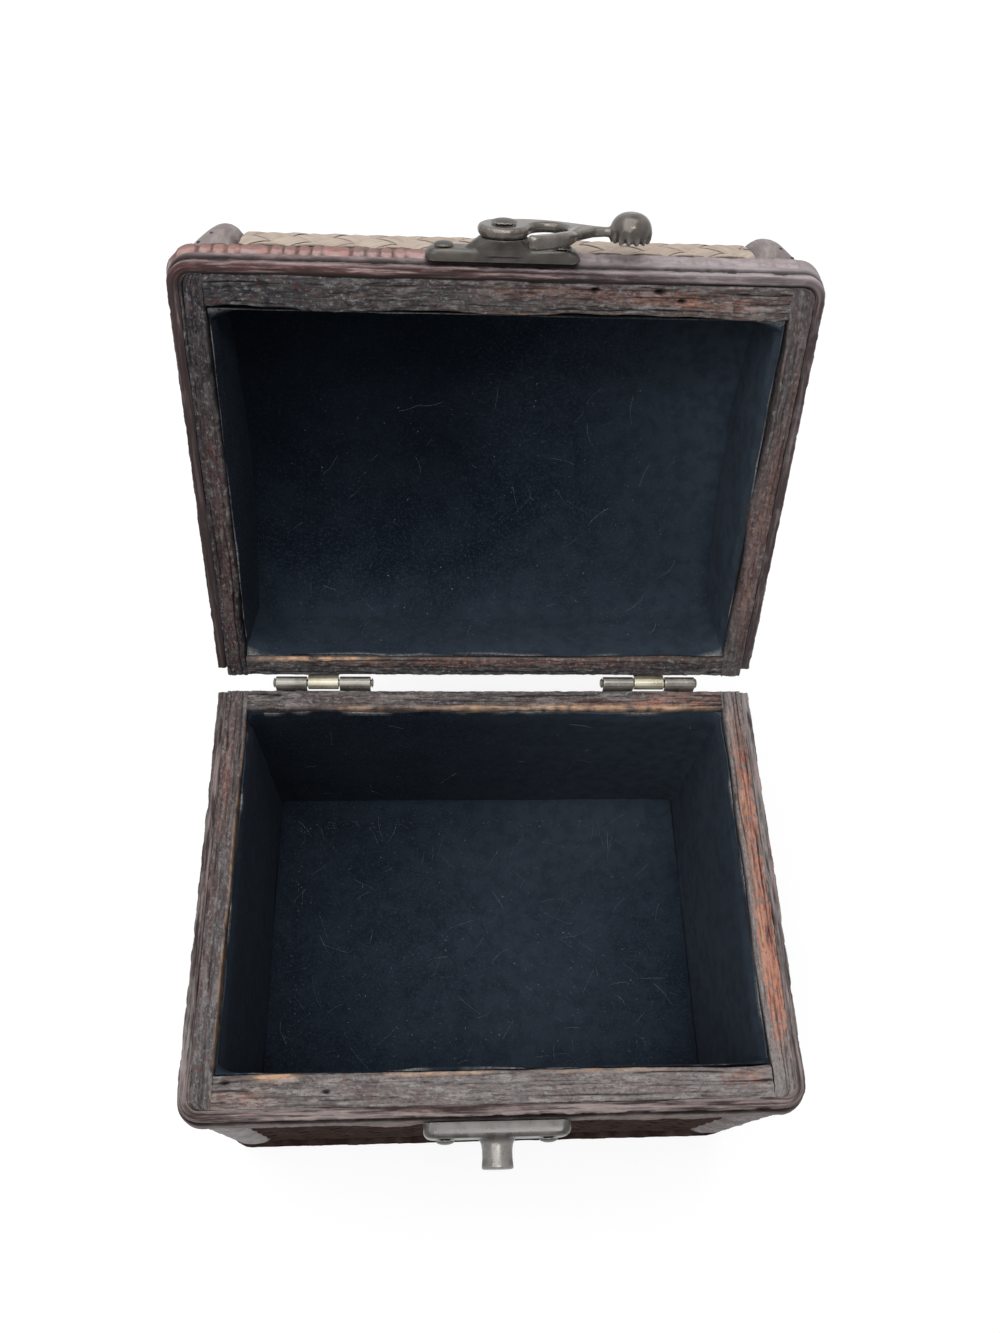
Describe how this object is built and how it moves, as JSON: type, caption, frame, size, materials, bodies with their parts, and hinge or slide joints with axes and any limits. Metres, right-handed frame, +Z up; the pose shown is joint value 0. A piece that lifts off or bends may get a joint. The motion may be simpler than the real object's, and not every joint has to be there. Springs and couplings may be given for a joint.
{
  "type": "treasure chest",
  "caption": "Small wooden treasure chest with a barrel lid, woven panels, leather bindings, a felt lining, butt hinges and a swing-hook latch with a stud.",
  "frame": {"origin": "centre of the base's underside", "axes": "+Z up, front with the latch towards -Y, +X to the right seen from the front"},
  "size_m": [0.1752, 0.2349, 0.2301],
  "materials": {
    "stained_wood": "dark brown stain, worn to reddish and raw wood along its edges",
    "navy_felt": "napped navy-black felt with lint",
    "lid_woven_mat": "tan split cane, plaited on the diagonal",
    "base_woven_mat": "red-brown stained split cane, plaited on the diagonal",
    "worn_leather": "worn embossed leather, red-brown to grey",
    "aged_brass": "dull aged brass",
    "antique_bronze": "cast metal with an antique bronze patina"
  },
  "bodies": {
    "base": {"base_back_board": "stained_wood", "base_back_lining": "navy_felt", "base_back_mat": "base_woven_mat", "base_bottom_board": "stained_wood", "base_corner_binding_back_left": "worn_leather", "base_corner_binding_back_right": "worn_leather", "base_corner_binding_front_left": "worn_leather", "base_corner_binding_front_right": "worn_leather", "base_floor_card": "navy_felt", "base_foot_binding": "worn_leather", "base_front_board": "stained_wood", "base_front_lining": "navy_felt", "base_front_mat": "base_woven_mat", "base_left_board": "stained_wood", "base_left_lining": "navy_felt", "base_left_mat": "base_woven_mat", "base_right_board": "stained_wood", "base_right_lining": "navy_felt", "base_right_mat": "base_woven_mat", "base_rim_binding": "worn_leather", "hinge_left_base_leaf": "aged_brass", "hinge_left_base_leaf_inner_screw": "aged_brass", "hinge_left_base_leaf_outer_screw": "aged_brass", "hinge_left_pin": "aged_brass", "hinge_right_base_leaf": "aged_brass", "hinge_right_base_leaf_inner_screw": "aged_brass", "hinge_right_base_leaf_outer_screw": "aged_brass", "hinge_right_pin": "aged_brass", "strike_plate": "antique_bronze", "strike_plate_left_screw": "antique_bronze", "strike_plate_right_screw": "antique_bronze"},
    "lid": {"hinge_left_lid_leaf": "aged_brass", "hinge_left_lid_leaf_inner_screw": "aged_brass", "hinge_left_lid_leaf_outer_screw": "aged_brass", "hinge_right_lid_leaf": "aged_brass", "hinge_right_lid_leaf_inner_screw": "aged_brass", "hinge_right_lid_leaf_outer_screw": "aged_brass", "latch_plate": "antique_bronze", "latch_plate_left_screw": "antique_bronze", "latch_plate_right_screw": "antique_bronze", "latch_rivet": "antique_bronze", "lid_back_board": "stained_wood", "lid_barrel_lining": "navy_felt", "lid_barrel_mat": "lid_woven_mat", "lid_front_board": "stained_wood", "lid_left_board": "stained_wood", "lid_left_edge_binding": "worn_leather", "lid_left_lining": "navy_felt", "lid_left_mat": "lid_woven_mat", "lid_right_board": "stained_wood", "lid_right_edge_binding": "worn_leather", "lid_right_lining": "navy_felt", "lid_right_mat": "lid_woven_mat", "lid_rim_binding": "worn_leather", "lid_top_panel": "stained_wood"},
    "hook": {"latch_hook": "antique_bronze"}
  },
  "joints": [
    {"name": "lid_hinge", "type": "hinge", "parent": "base", "child": "lid", "pos_m": [0, 0.0645, 0.1003], "axis": [1, 0, 0], "range_deg": [0, 118]},
    {"name": "hook_pivot", "type": "hinge", "parent": "lid", "child": "hook", "pos_m": [0, 0.13304, 0.21856], "axis": [0, 0.4695, 0.8829], "range_deg": [-78, 90]}
  ]
}
